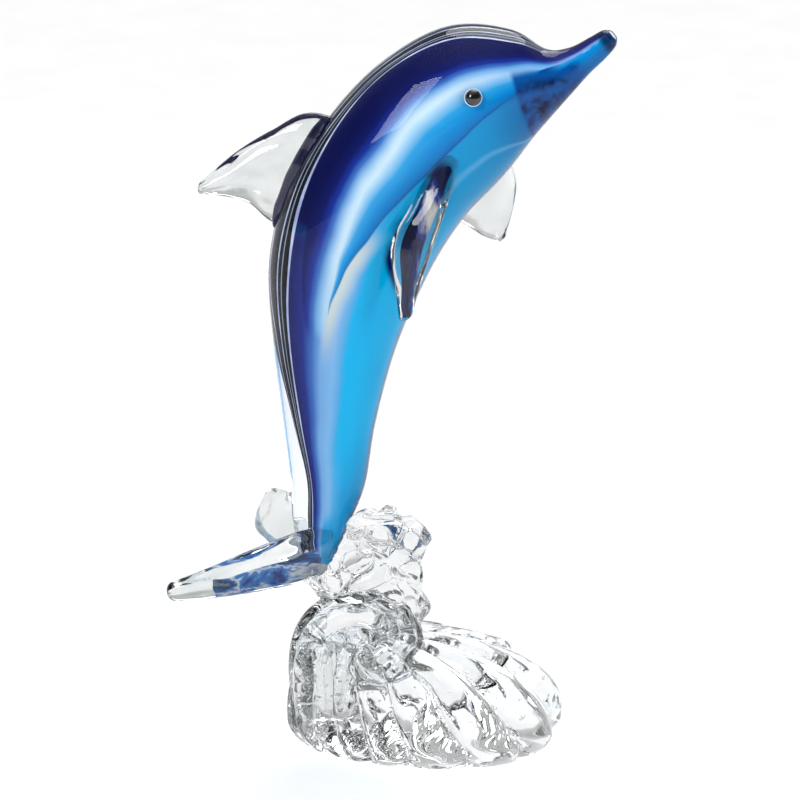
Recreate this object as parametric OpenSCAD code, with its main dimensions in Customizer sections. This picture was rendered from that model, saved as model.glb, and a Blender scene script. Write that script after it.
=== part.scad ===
// Cased art-glass dolphin leaping from a ribbed crystal wave.
// Millimetres. +Z is up, +X is the way the dolphin heads, and -Y is its right side.
// The origin is the centre of the ground flat under the wave's foot.

/* [Body] */
// Thickness of the colour layer laid over the core, as a share of the body's radius
colour_layer = 0.10; // [0.06:0.01:0.14]
// Thickness of the clear casing, as a share of the body's radius
casing_layer = 0.10; // [0.06:0.01:0.14]
// Rings of the body's skin between two rows of its spine
rings_per_row = 2; // [1:1:2]

/* [Back stripes] */
// Angle that one white thread takes round the body, degrees
thread_angle = 4; // [2:0.5:6]
// Angle from the middle of the back to the outermost thread's far edge, degrees
stripes_half_angle = 40; // [30:1:50]

/* [Flanks] */
// Angle from the middle of the back at which the cobalt ends and the opal starts, degrees
cobalt_end = 80; // [70:1:90]
// Angle from the middle of the back at which the opal ends and the belly starts, degrees
opal_end = 112; // [100:1:125]

/* [Eyes] */
// Radius of the black bead
bead_r = 2.8; // [2:0.1:3.5]
// Radius of the white dot under it
dot_r = 3.3; // [2.8:0.1:4]

/* [Wave foot] */
// Length of the foot along X
foot_length = 94; // [90:1:98]
// Depth of the foot along Y
foot_depth = 75; // [70:1:80]
// Height of the foot's dome
foot_height = 40; // [37:0.5:43]
// Optic ribs round the foot
rib_count = 15; // [11:1:19]
// Depth of the grooves between the ribs, as a share of the radius
rib_depth = 0.07; // [0.03:0.01:0.1]
// Turn of the ribs as the foot draws in towards its crown, degrees
rib_twist = 30; // [10:5:60]

/* [Hidden] */
RIBBONS = 4; // black ribbons down the back, with a white thread along each edge

// The body's spine from the tail's stub to the tip of the beak:
// x, z, half height from back to belly, half width from side to side
SPINE = [
    [-37, 65, 6, 6],
    [-35.5, 79, 10, 9],
    [-33, 93, 13, 11.5],
    [-32.5, 114, 16, 14],
    [-31, 140, 21, 18],
    [-27.5, 165, 26.5, 22.5],
    [-20, 187, 29, 24.5],
    [-8, 205.5, 29.2, 24.5],
    [5, 219, 29, 23.5],
    [19.4, 229.2, 26.2, 20.5],
    [33.6, 233.4, 18.5, 14.8],
    [44, 235.5, 9.7, 8.6],
    [51.5, 240, 5.9, 5.7],
    [58, 244.8, 4.6, 4.6],
    [62, 248.2, 3.6, 3.6],
    [63.7, 249.6, 1.8, 1.8]];
LAST_ROW = len(SPINE) - 1;
MELON_ROW = 11;      // the colour layer ends here, where the beak starts
BEAK_CORE_ROW = 14;  // the core ends here, just short of the tip

core_rho = 1 - casing_layer - colour_layer;
layer_rho = 1 - casing_layer;
ribbon_angle = (2 * stripes_half_angle - (RIBBONS + 1) * thread_angle) / RIBBONS;

// ---------- smooth rows ----------

// Point on the smooth curve through four rows, t from 0 at p1 to 1 at p2
function curve(p0, p1, p2, p3, t) =
    0.5 * (2 * p1 + (p2 - p0) * t + (2 * p0 - 5 * p1 + 4 * p2 - p3) * t * t
        + (3 * p1 - p0 - 3 * p2 + p3) * t * t * t);

// Row u of a table, where a fraction lies smoothly between its neighbours
function row_at(rows, u) =
    let (last = len(rows) - 1, i = min(floor(u), last - 1))
    curve(rows[max(i - 1, 0)], rows[i], rows[i + 1], rows[min(i + 2, last)], u - i);

// ---------- the body's skin ----------

// Direction of the spine at row u, degrees above +X, taken over a row each way to be smooth
function heading(u) =
    let (a = row_at(SPINE, max(u - 1, 0)), b = row_at(SPINE, min(u + 1, LAST_ROW)))
    atan2(b[1] - a[1], b[0] - a[0]);

// How far the colours crowd towards the back at row u, from 0 at the tail to the full amount
// at the head
CROWDING = 0.45;
CROWD_START = 3;
CROWD_ROWS = 6;
function crowding(u) =
    let (t = min(max((u - CROWD_START) / CROWD_ROWS, 0), 1))
    CROWDING * t * t * (3 - 2 * t);

// Column angle as it lies on the body at row u; the middles of the back and belly don't move
function column_angle(u, angle) =
    let (a = angle > 180 ? angle - 360 : angle)
    a * (1 - crowding(u) * (1 - abs(a) / 180));

// Point at row u, in the column of an angle from the middle of the back (+90 is the right flank),
// at a share rho of the body's radius
function body_point(u, angle, rho) =
    let (
        s = row_at(SPINE, u),
        h = heading(u),
        a = column_angle(u, angle),
        up = rho * s[2] * cos(a))
    [s[0] - up * sin(h), -rho * s[3] * sin(a), s[1] + up * cos(h)];

// Angles at which stripes start and end, from left to right across the back
function stripe_edges() =
    concat([-stripes_half_angle],
        [for (i = [0 : RIBBONS - 1], edge = [thread_angle, thread_angle + ribbon_angle])
            -stripes_half_angle + i * (thread_angle + ribbon_angle) + edge],
        [stripes_half_angle]);

// Evenly spaced values from a to b, both included
function spaced(a, b, parts) = [for (i = [0 : parts]) a + (b - a) * i / parts];

function tail_of(list) = [for (i = [1 : len(list) - 1]) list[i]];

COBALT_RIGHT = spaced(stripes_half_angle, cobalt_end, 3);
OPAL_RIGHT = spaced(cobalt_end, opal_end, 3);
BELLY = spaced(opal_end, 360 - opal_end, 9);
OPAL_LEFT = spaced(360 - opal_end, 360 - cobalt_end, 3);
COBALT_LEFT = spaced(360 - cobalt_end, 360 - stripes_half_angle, 3);
STRIPES = stripe_edges();

// Every column of the skin once round, so that all the layers meet edge to edge
COLUMNS = concat(STRIPES, tail_of(COBALT_RIGHT), tail_of(OPAL_RIGHT), tail_of(BELLY),
    tail_of(OPAL_LEFT), [for (i = [1 : len(COBALT_LEFT) - 2]) COBALT_LEFT[i]]);

function rows_between(a, b) = spaced(a, b, (b - a) * rings_per_row);

// Two triangles for the quad between ring r and the next, side k of n
function side_pair(r, k, n) =
    let (a = r * n + k, b = r * n + (k + 1) % n)
    [[a, a + n, b + n], [a, b + n, b]];

// Closed tube of rings, given as [u, rho] pairs, once round the body
module ring_solid(rings) {
    n = len(COLUMNS);
    points = [for (r = rings, angle = COLUMNS) body_point(r[0], angle, r[1])];
    sides = [for (r = [0 : len(rings) - 2], k = [0 : n - 1], t = side_pair(r, k, n)) t];
    start = [for (k = [0 : n - 1]) k];
    end = [for (k = [n - 1 : -1 : 0]) (len(rings) - 1) * n + k];
    polyhedron(points, concat(sides, [start, end]), convexity = 6);
}

// One stave of the colour layer, between the core and the casing
module stave(angles) {
    last = len(angles) - 1;
    n = 2 * (last + 1);
    rows = rows_between(0, MELON_ROW);
    profile = concat([for (a = angles) [a, layer_rho]],
        [for (i = [last : -1 : 0]) [angles[i], core_rho]]);
    points = [for (u = rows, p = profile) body_point(u, p[0], p[1])];
    sides = [for (r = [0 : len(rows) - 2], k = [0 : n - 1], t = side_pair(r, k, n)) t];
    top = (len(rows) - 1) * n;
    caps = [for (k = [0 : last - 1])
        each [[k, k + 1, n - 2 - k], [k, n - 2 - k, n - 1 - k],
            [top + k, top + n - 2 - k, top + k + 1], [top + k, top + n - 1 - k, top + n - 2 - k]]];
    polyhedron(points, concat(sides, caps), convexity = 6);
}

// The body's outer skin as one closed solid, which cuts whatever is applied to it
module body_solid() {
    ring_solid([for (u = rows_between(0, LAST_ROW)) [u, 1]]);
}

// ---------- applied glass ----------

ROUND = 10; // facets round the edge of a blade; a lump has twice as many

// Edge, middle and edge of a blade's cross-section: row is front edge, back edge, half thickness
module blade_section(row) {
    edge_r = 0.45 * row[2];
    translate(row[0])
        sphere(edge_r, $fn = ROUND);
    translate((row[0] + row[1]) / 2)
        sphere(row[2], $fn = ROUND);
    translate(row[1])
        sphere(edge_r, $fn = ROUND);
}

function row_parts(rows, u) =
    [for (k = [0 : 1]) row_at([for (r = rows) r[k]], u)];

// Blade through hand-set rows, smooth along its length
module blade(rows, parts = 8) {
    last = len(rows) - 1;
    steps = spaced(0, last, parts);
    for (i = [0 : parts - 1])
        hull()
            for (u = [steps[i], steps[i + 1]])
                blade_section(concat(row_parts(rows, u), row_at([for (r = rows) r[2]], u)));
}

// Chain of round lumps, each given as centre and radius
module gather(lumps) {
    for (i = [0 : len(lumps) - 2])
        hull()
            for (lump = [lumps[i], lumps[i + 1]])
                translate(lump[0])
                    sphere(lump[1], $fn = 2 * ROUND);
}

DORSAL_ROWS = [
    [[-22, 0, 214], [-40, 0, 186], 7],
    [[-39, 0, 220.5], [-51, 0, 186], 5],
    [[-52, 0, 215], [-59, 0, 192], 3.6],
    [[-64, 0, 207.5], [-66, 0, 194], 3],
    [[-75, 0, 198], [-75, 0, 195], 2.4]];
DORSAL_ROOT_ROWS = [
    [[-20, 0, 210], [-38, 0, 186], 7.6],
    [[-27, 0, 217], [-45, 0, 186], 6.8],
    [[-35, 0, 221], [-51, 0, 183], 5.6]];

// The left fins and fluke are set apart from the right ones, since hand-drawn glass has no twins
PECTORAL_RIGHT_ROWS = [
    [[10, -18, 211], [4, -18, 208], 4.4],
    [[7, -25, 200], [-4, -25, 196], 4.2],
    [[1.5, -28, 184], [-10, -28, 184], 3.7],
    [[-2.5, -29, 171], [-9, -29, 170], 3],
    [[-5, -28.5, 160], [-8, -28.5, 159], 2.3]];
PECTORAL_LEFT_ROWS = [
    [[22, 14, 206], [6, 14, 188], 4.6],
    [[27, 21, 200], [9, 21, 182], 4],
    [[30, 26, 191], [15, 26, 177], 3.4],
    [[29.5, 29, 182], [20, 29, 172.5], 2.8],
    [[27.5, 31, 173], [24.5, 31, 170], 2.3]];
FLUKE_RIGHT_ROWS = [
    [[-33, -2, 77], [-33, -2, 64], 5],
    [[-45, -7, 74], [-44, -6, 60], 4.6],
    [[-58, -12, 70.5], [-56, -10, 58], 3.8],
    [[-73, -17, 65], [-71, -15, 57], 3],
    [[-87, -20, 60], [-86, -19, 57.5], 2]];
FLUKE_LEFT_ROWS = [
    [[-34, 3, 75], [-36, 3, 63], 5],
    [[-40, 12, 77], [-49, 12, 65], 4.6],
    [[-44, 20, 79.5], [-56, 21, 69], 4],
    [[-47.5, 27, 80], [-56.5, 28, 72.5], 3.2],
    [[-50.5, 33, 79], [-54, 34, 76], 2.4]];

// Rows of a thin blade along the back edge of another one
STREAK_THICK = 2;
FRONT_SHARE = 0.3;
function streak_rows(rows, by) =
    [for (r = rows) [FRONT_SHARE * r[0] + (1 - FRONT_SHARE) * r[1] + by, r[1] + by, STREAK_THICK]];

// ---------- the wave ----------

// Height as a share of the foot's, and size of the foot's outline there
FOOT_PROFILE = [
    [0, 0.88], [0.07, 0.95], [0.18, 1], [0.35, 1], [0.47, 0.98], [0.58, 0.94],
    [0.7, 0.88], [0.8, 0.81], [0.9, 0.7], [0.96, 0.56], [1, 0.36]];
CROWN_SHIFT = [-22, -5]; // the crown leans towards the curl
SHIFT_POWER = 5;         // how late on the way up it leans
FRONT_SWELL = 0.18;      // the foot is this much deeper towards +X, and shallower towards -X
FAN_SHARE = 0.75;        // how far the ribs fan out from the crown, not from the foot's middle
POINTS_PER_RIB = 8;

// Depth of the groove at an angle, 0 on a rib's crest and 1 in the groove
function groove(angle) = 1 - abs(cos(angle * rib_count / 2));

// Point of the smooth dome at a height and an angle, for a size of the outline
function dome_point(lift, size, angle) =
    let (lean = CROWN_SHIFT * pow(lift, SHIFT_POWER))
    [foot_length / 2 * size * cos(angle) + lean[0],
        foot_depth / 2 * size * sin(angle) * (1 + FRONT_SWELL * cos(angle)) + lean[1],
        foot_height * lift];

// Angle at which a point of the dome lies in the fan of the ribs
function fan_angle(point, angle) =
    let (heading = atan2(point[1] - CROWN_SHIFT[1], point[0] - CROWN_SHIFT[0]))
    angle + FAN_SHARE * ((heading - angle + 540) % 360 - 180);

function foot_point(step, angle) =
    let (
        lift = step[0],
        turn = fan_angle(dome_point(lift, step[1], angle), angle) - rib_twist * (1 - step[1]))
    dome_point(lift, step[1] * (1 - rib_depth * groove(turn) * (1 - lift / 2)), angle);

module wave_foot_solid() {
    n = rib_count * POINTS_PER_RIB;
    levels = len(FOOT_PROFILE);
    rings = [for (step = FOOT_PROFILE, k = [0 : n - 1]) foot_point(step, 360 * k / n)];
    centre = [0, 0, 0];
    crown = [CROWN_SHIFT[0], CROWN_SHIFT[1], foot_height];
    sides = [for (r = [0 : levels - 2], k = [0 : n - 1], t = side_pair(r, k, n)) t];
    under = [for (k = [0 : n - 1]) [k, (k + 1) % n, levels * n]];
    over = [for (k = [0 : n - 1])
        [(levels - 1) * n + (k + 1) % n, (levels - 1) * n + k, levels * n + 1]];
    polyhedron(concat(rings, [centre, crown]), concat(sides, under, over), convexity = 8);
}

CURL_LUMPS = [
    [[-33, -8, 16], 12.5], [[-34, -6, 27], 13], [[-32.5, -3, 37], 12.5], [[-26, -2, 43], 11.5],
    [[-18, -2, 44], 10.5], [[-11, -3, 40], 9.5], [[-9, -8, 34], 8.5], [[-13, -13, 30], 7.5],
    [[-19, -16, 30], 6.5], [[-23, -16, 33], 5.5]];
CREST_LUMPS = [
    [[-9, 6, 34], 9], [[-9, 5, 44], 10], [[-10, 3, 52], 10.5], [[-12, 1, 60], 12],
    [[-21, 0, 59], 12], [[-31, -1, 60], 11], [[-35, -2, 63], 8], [[-27, 5, 69], 9],
    [[-16, 4, 71], 11], [[-9, 0, 69.5], 10.5], [[-15, -5, 75], 8.5], [[-21, -5, 79], 6.5]];

module wave_curl_solid() {
    difference() {
        gather(CURL_LUMPS);
        wave_foot_solid();
    }
}

// ---------- the pieces ----------

module wave_foot() {
    color("lightcyan")
        wave_foot_solid();
}

module wave_curl() {
    color("azure")
        wave_curl_solid();
}

module wave_crest() {
    color("aliceblue")
        difference() {
            gather(CREST_LUMPS);
            gather(CURL_LUMPS);
            wave_foot_solid();
            body_solid();
            blade(FLUKE_RIGHT_ROWS);
            blade(FLUKE_LEFT_ROWS);
        }
}

module aqua_core() {
    color("deepskyblue")
        ring_solid(concat(
            [for (u = rows_between(0, MELON_ROW)) [u, core_rho]],
            [for (u = rows_between(MELON_ROW, BEAK_CORE_ROW)) [u, layer_rho]]));
}

module aqua_belly() {
    color("turquoise")
        stave(BELLY);
}

module cobalt_flank(angles) {
    color("mediumblue")
        stave(angles);
}

module opal_flank(angles) {
    color("lightskyblue")
        stave(angles);
}

// Ribbon i, counted from the left edge of the stripes
module black_ribbon(i) {
    color("black")
        stave([STRIPES[2 * i - 1], STRIPES[2 * i]]);
}

module white_thread(i) {
    color("white")
        stave([STRIPES[2 * i - 2], STRIPES[2 * i - 1]]);
}

// Clear casing: the outer skin less the core and the colour layer, open where the tail was cut off
module crystal_casing() {
    outer_rows = rows_between(0, LAST_ROW);
    inner_rows = rows_between(0, BEAK_CORE_ROW);
    rings = concat([for (i = [len(inner_rows) - 1 : -1 : 0]) [inner_rows[i], layer_rho]],
        [for (u = outer_rows) [u, 1]]);
    color("lightblue", 0.35)
        ring_solid(rings);
}

module dorsal_fin() {
    color("whitesmoke")
        difference() {
            blade(DORSAL_ROWS);
            blade(DORSAL_ROOT_ROWS);
            body_solid();
        }
}

module dorsal_root() {
    color("navy")
        difference() {
            blade(DORSAL_ROOT_ROWS);
            body_solid();
        }
}

module pectoral_fin(rows) {
    color("whitesmoke")
        difference() {
            blade(rows);
            body_solid();
        }
}

module fluke(rows) {
    color("whitesmoke")
        difference() {
            blade(rows);
            body_solid();
        }
}

// Blue glass drawn out along the lower edge of a fluke
module fluke_streak(rows, by) {
    color("royalblue")
        difference() {
            blade(streak_rows(rows, by));
            blade(rows);
            body_solid();
            gather(CREST_LUMPS);
        }
}

EYE_ROW = 8.93;
EYE_ANGLE = 99.5;
DOT_THICK = 0.8;
DOT_SINK = 0.1; // how far a dot's back lies under the skin

// Place things on an eye's spot, facing outwards; side is 1 on the right and -1 on the left
module at_eye(side) {
    translate(body_point(EYE_ROW, side * EYE_ANGLE, 1))
        rotate([90 * side, 0, 0])
            children();
}

module eye_dot(side) {
    color("white")
        at_eye(side)
            translate([0, 0, -DOT_SINK])
                cylinder(h = DOT_THICK, r = dot_r, $fn = 48);
}

module eye_bead(side) {
    color("black")
        at_eye(side)
            translate([0, 0, DOT_THICK - DOT_SINK])
                intersection() {
                    sphere(bead_r, $fn = 48);
                    cylinder(h = 2 * bead_r, r = 2 * bead_r, $fn = 48);
                }
}

wave_foot();
wave_curl();
wave_crest();
aqua_core();
aqua_belly();
cobalt_flank(COBALT_RIGHT);  // cobalt_flank_right
cobalt_flank(COBALT_LEFT);  // cobalt_flank_left
opal_flank(OPAL_RIGHT);  // opal_flank_right
opal_flank(OPAL_LEFT);  // opal_flank_left
black_ribbon(1);  // black_ribbon_1
black_ribbon(2);  // black_ribbon_2
black_ribbon(3);  // black_ribbon_3
black_ribbon(4);  // black_ribbon_4
white_thread(1);  // white_thread_1
white_thread(2);  // white_thread_2
white_thread(3);  // white_thread_3
white_thread(4);  // white_thread_4
white_thread(5);  // white_thread_5
crystal_casing();
dorsal_fin();
dorsal_root();
pectoral_fin(PECTORAL_RIGHT_ROWS);  // pectoral_fin_right
pectoral_fin(PECTORAL_LEFT_ROWS);  // pectoral_fin_left
fluke(FLUKE_RIGHT_ROWS);  // fluke_right
fluke(FLUKE_LEFT_ROWS);  // fluke_left
fluke_streak(FLUKE_RIGHT_ROWS, [0, -2.5, -1]);  // fluke_streak_right
fluke_streak(FLUKE_LEFT_ROWS, [-1.5, -1, -1.5]);  // fluke_streak_left
eye_dot(1);  // eye_dot_right
eye_dot(-1);  // eye_dot_left
eye_bead(1);  // eye_bead_right
eye_bead(-1);  // eye_bead_left
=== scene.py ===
"""Looks of the cased art-glass dolphin on its crystal wave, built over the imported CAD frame.

Shapes are worked out in millimetres in the CAD frame and written to meshes in metres.
+X is the way the dolphin heads, -Y is its right side, +Z is up.
"""
import math
import random

import bmesh
import bpy
import numpy as np
from mathutils import Matrix, Vector, noise


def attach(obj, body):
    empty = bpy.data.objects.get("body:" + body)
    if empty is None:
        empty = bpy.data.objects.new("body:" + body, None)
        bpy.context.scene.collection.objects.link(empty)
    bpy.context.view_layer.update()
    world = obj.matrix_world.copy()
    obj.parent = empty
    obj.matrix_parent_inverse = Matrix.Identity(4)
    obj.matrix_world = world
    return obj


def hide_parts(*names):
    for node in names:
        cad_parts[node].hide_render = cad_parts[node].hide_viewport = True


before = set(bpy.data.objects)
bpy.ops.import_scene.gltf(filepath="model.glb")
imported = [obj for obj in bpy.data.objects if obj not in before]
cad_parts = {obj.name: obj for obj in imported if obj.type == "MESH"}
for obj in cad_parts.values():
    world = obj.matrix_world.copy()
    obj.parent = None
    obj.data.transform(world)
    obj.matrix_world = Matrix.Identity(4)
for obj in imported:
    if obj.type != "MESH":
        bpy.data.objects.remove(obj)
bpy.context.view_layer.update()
MM = 0.001
rng = random.Random(11)
noise.seed_set(11)   # unseeded, noise_vector follows the clock

# ---------------------------------------------------------------- the body's skin

# x, z, half height, half width along the spine, from the tail's stub to the tip of the beak
SPINE = np.array([
    [-37, 65, 6, 6], [-35.5, 79, 10, 9], [-33, 93, 13, 11.5], [-32.5, 114, 16, 14],
    [-31, 140, 21, 18], [-27.5, 165, 26.5, 22.5], [-20, 187, 29, 24.5], [-8, 205.5, 29.2, 24.5],
    [5, 219, 29, 23.5], [19.4, 229.2, 26.2, 20.5], [33.6, 233.4, 18.5, 14.8], [44, 235.5, 9.7, 8.6],
    [51.5, 240, 5.9, 5.7], [58, 244.8, 4.6, 4.6], [62, 248.2, 3.6, 3.6], [63.7, 249.6, 1.8, 1.8]])
LAST_ROW = len(SPINE) - 1
MELON_ROW = 11       # the colour layer ends here, where the beak starts
BEAK_CORE_ROW = 14   # the core ends here, just short of the tip
LAYER_RHO = 0.9      # outside of the colour layer, as a share of the body's radius
CASING_RHO = 0.983   # outside of the casing, just inside the CAD's skin
CORE_SHARE = 0.89    # the core's radius as a share of the colour layer's
COBALT_END, OPAL_END = 80, 112   # CAD columns where the cobalt and the opal end, in degrees

# Angle from the middle of the back to the outermost white thread, at rows 0 to 11
STRIPE_REACH = np.array([66, 60, 40, 35, 35, 38, 31, 19, 15, 20, 26, 17], float)
# Share of the radius that the colour reaches on the back and on the belly, at rows 0 to 11; the clear
# glass is thick at the tail
BACK_SHARE = np.array([0.28, 0.34, 0.44, 0.62, 0.78, 0.87, 0.9, 0.9, 0.9, 0.9, 0.9, 0.9])
BELLY_SHARE = np.array([0.72, 0.78, 0.84, 0.88, 0.9, 0.9, 0.9, 0.9, 0.9, 0.9, 0.9, 0.9])
# Where each stripe starts and ends, as shares of the stripes' reach from left to right
STRIPE_EDGES = [-1, -0.91, -0.56, -0.5, -0.04, 0.04, 0.48, 0.54, 0.91, 1]
THREADS, RIBBONS = 5, 4
# How far the colours crowd towards the back, from 0 at a row to the full amount some rows on
CROWDING, CROWD_START, CROWD_ROWS = 0.45, 3, 6
HEADING_REACH = 1    # rows each way over which the spine's direction is taken


def smoothstep(t):
    t = np.clip(t, 0, 1)
    return t * t * (3 - 2 * t)


def along_rows(rows, u):
    """Rows of a table at places u, smooth between the rows (Catmull-Rom)."""
    rows = np.asarray(rows, float)
    last = len(rows) - 1
    u = np.clip(np.asarray(u, float), 0, last)
    i = np.minimum(np.floor(u).astype(int), last - 1)
    t = u - i
    if rows.ndim > 1:
        t = t[..., None]
    p0, p1 = rows[np.maximum(i - 1, 0)], rows[i]
    p2, p3 = rows[i + 1], rows[np.minimum(i + 2, last)]
    return 0.5 * (2 * p1 + (p2 - p0) * t + (2 * p0 - 5 * p1 + 4 * p2 - p3) * t ** 2
                  + (3 * p1 - p0 - 3 * p2 + p3) * t ** 3)


def skin(u, angle, rho):
    """Points at row u, at an angle from the middle of the back (+90 is the right flank), at share rho."""
    u = np.clip(u, 0, LAST_ROW)
    s = along_rows(SPINE, u)
    a = along_rows(SPINE, np.maximum(u - HEADING_REACH, 0))
    b = along_rows(SPINE, np.minimum(u + HEADING_REACH, LAST_ROW))
    h = np.arctan2(b[..., 1] - a[..., 1], b[..., 0] - a[..., 0])
    turn = np.radians(angle)
    up = rho * s[..., 2] * np.cos(turn)
    return np.stack([s[..., 0] - up * np.sin(h), -rho * s[..., 3] * np.sin(turn),
                     s[..., 1] + up * np.cos(h)], -1)


def column(u, angle):
    """The CAD column's angle as it lies on the body at row u."""
    return angle * (1 - CROWDING * smoothstep((u - CROWD_START) / CROWD_ROWS) * (1 - abs(angle) / 180))


def colour_rho(u, angle):
    """Share of the radius that the colour layer reaches."""
    side = (1 - np.cos(np.radians(angle))) / 2
    back = along_rows(BACK_SHARE, np.minimum(u, MELON_ROW))
    belly = along_rows(BELLY_SHARE, np.minimum(u, MELON_ROW))
    return np.minimum(back + (belly - back) * side, LAYER_RHO)


# ---------------------------------------------------------------- meshes

def mesh_of(name, points, faces):
    mesh = bpy.data.meshes.new(name)
    mesh.from_pydata((np.asarray(points, float) * MM).tolist(), [], [tuple(int(i) for i in f) for f in faces])
    return mesh


def piece(name, points, faces, material, nodes, attributes=None, sharp=50):
    """Makes a finished piece: it rides on the body and stands for its CAD nodes, which it hides."""
    mesh = mesh_of(name, points, faces)
    for key, values in (attributes or {}).items():
        layer = mesh.attributes.new(key, "FLOAT", "POINT")
        layer.data.foreach_set("value", np.asarray(values, np.float32).ravel())
    work = bmesh.new()
    work.from_mesh(mesh)
    bmesh.ops.recalc_face_normals(work, faces=work.faces)
    work.to_mesh(mesh)
    work.free()
    mesh.polygons.foreach_set("use_smooth", [True] * len(mesh.polygons))
    mesh.set_sharp_from_angle(angle=math.radians(sharp))
    mesh.materials.append(material)
    mesh.update()
    made = bpy.data.objects.new(name, mesh)
    bpy.context.scene.collection.objects.link(made)
    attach(made, "root")
    if nodes:
        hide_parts(*nodes)


def tube(rings):
    """Points and faces of a closed tube through rings, with a fan over each end."""
    count, n = rings.shape[:2]
    points = np.concatenate([rings.reshape(-1, 3), rings[0].mean(0)[None], rings[-1].mean(0)[None]])
    k = np.arange(n)
    after = (k + 1) % n
    faces = []
    for r in range(count - 1):
        a, b = r * n + k, r * n + after
        faces += np.stack([a, b, b + n, a + n], 1).tolist()
    start, end = count * n, count * n + 1
    faces += np.stack([after, k, np.full(n, start)], 1).tolist()
    top = (count - 1) * n
    faces += np.stack([top + k, top + after, np.full(n, end)], 1).tolist()
    return points, faces


def with_ends(values):
    """Values given per ring and point, with the two fan centres' values after them."""
    return np.concatenate([values.reshape(-1), [values[0].mean(), values[-1].mean()]])


def stave(name, low, high, material, node, steps=12, rows=240):
    """A closed stave of the colour layer between the angles low(u) and high(u)."""
    u = np.linspace(0, MELON_ROW, rows)
    share = np.linspace(0, 1, steps)
    lo, hi = low(u)[:, None], high(u)[:, None]
    angle = lo + (hi - lo) * share[None]
    uu = np.repeat(u[:, None], steps, 1)
    outer = colour_rho(uu, angle)
    top = skin(uu, angle, outer)
    under = skin(uu, angle, outer * CORE_SHARE)[:, ::-1]
    points, faces = tube(np.concatenate([top, under], 1))
    rows_of = with_ends(np.concatenate([uu, uu], 1))
    angles_of = with_ends(np.concatenate([angle, angle[:, ::-1]], 1))
    piece(name, points, faces, material, [node], {"row": rows_of, "angle": angles_of})


# ---------------------------------------------------------------- material helpers

def linear(code):
    """Linear colour of a #rrggbb code."""
    parts = [int(code[i:i + 2], 16) / 255 for i in (1, 3, 5)]
    return [c / 12.92 if c <= 0.04045 else ((c + 0.055) / 1.055) ** 2.4 for c in parts] + [1]


def put(tree, socket, value):
    if isinstance(value, bpy.types.NodeSocket):
        tree.links.new(value, socket)
    else:
        socket.default_value = value


def add(tree, kind, *values, **settings):
    """A node of a kind, its first inputs filled in order; returns the node."""
    made = tree.nodes.new("ShaderNode" + kind)
    for key, value in settings.items():
        setattr(made, key, value)
    for i, value in enumerate(values):
        put(tree, made.inputs[i], value)
    return made


def maths(tree, operation, a, b=0.0):
    return add(tree, "Math", a, b, operation=operation).outputs[0]


def product(tree, *values):
    """Product of two or more values."""
    made = values[0]
    for value in values[1:]:
        made = maths(tree, "MULTIPLY", made, value)
    return made


def distance(tree, a, b):
    return maths(tree, "ABSOLUTE", maths(tree, "SUBTRACT", a, b))


def fade(tree, value, low, high):
    """From 0 at low to 1 at high, eased; the other way round if high is below low."""
    if low < high:
        return rescale(tree, value, low, high, 0, 1, True)
    return rescale(tree, value, high, low, 1, 0, True)


def attribute(tree, name):
    return add(tree, "Attribute", attribute_name=name).outputs["Fac"]


def mixed(tree, share, a, b, blend="MIX"):
    made = tree.nodes.new("ShaderNodeMix")
    made.data_type, made.blend_type = "RGBA", blend
    put(tree, made.inputs[0], share)
    put(tree, made.inputs[6], a)
    put(tree, made.inputs[7], b)
    return made.outputs[2]


def ramp(tree, share, stops):
    made = tree.nodes.new("ShaderNodeValToRGB")
    elements = made.color_ramp.elements
    while len(elements) > 1:
        elements.remove(elements[-1])
    for i, (place, colour) in enumerate(stops):
        element = elements[0] if i == 0 else elements.new(place)
        element.position = place
        element.color = linear(colour) if isinstance(colour, str) else (colour, colour, colour, 1)
    put(tree, made.inputs[0], share)
    return made.outputs[0]


def rescale(tree, value, low, high, to_low=0.0, to_high=1.0, smooth=False):
    made = tree.nodes.new("ShaderNodeMapRange")
    made.interpolation_type = "SMOOTHSTEP" if smooth else "LINEAR"
    made.clamp = True
    for i, v in enumerate([value, low, high, to_low, to_high]):
        put(tree, made.inputs[i], v)
    return made.outputs[0]


def by_row(tree, row, values, top):
    """A value that follows given values at rows 0, 1, 2 ..., each below top."""
    made = tree.nodes.new("ShaderNodeFloatCurve")
    curve = made.mapping.curves[0]
    last = len(values) - 1
    for i, v in enumerate(values):
        if i in (0, last):
            point = curve.points[0 if i == 0 else -1]
            point.location = (i / last, v / top)
        else:
            curve.points.new(i / last, v / top)
    made.mapping.update()
    made.inputs[0].default_value = 1.0
    tree.links.new(maths(tree, "DIVIDE", row, float(last)), made.inputs[1])
    return maths(tree, "MULTIPLY", made.outputs[0], float(top))


def clouds(tree, scale, detail=3.0, rough=0.5, stretch=(1, 1, 1), distortion=0.0):
    """Noise in the object's own frame, in features per metre."""
    place = add(tree, "TexCoord").outputs["Object"]
    mapping = tree.nodes.new("ShaderNodeMapping")
    mapping.inputs["Scale"].default_value = stretch
    tree.links.new(place, mapping.inputs["Vector"])
    made = tree.nodes.new("ShaderNodeTexNoise")
    tree.links.new(mapping.outputs[0], made.inputs["Vector"])
    made.inputs["Scale"].default_value = scale
    made.inputs["Detail"].default_value = detail
    made.inputs["Roughness"].default_value = rough
    made.inputs["Distortion"].default_value = distortion
    return made.outputs[0]


def material(name):
    """A new node material; returns it, its tree and its Principled node."""
    made = bpy.data.materials.new(name)
    made.use_nodes = True
    tree = made.node_tree
    return made, tree, tree.nodes["Principled BSDF"]


def bumped(tree, shader, height, strength, depth):
    bump = tree.nodes.new("ShaderNodeBump")
    bump.inputs["Strength"].default_value = strength
    bump.inputs["Distance"].default_value = depth
    tree.links.new(height, bump.inputs["Height"])
    tree.links.new(bump.outputs[0], shader.inputs["Normal"])


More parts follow.
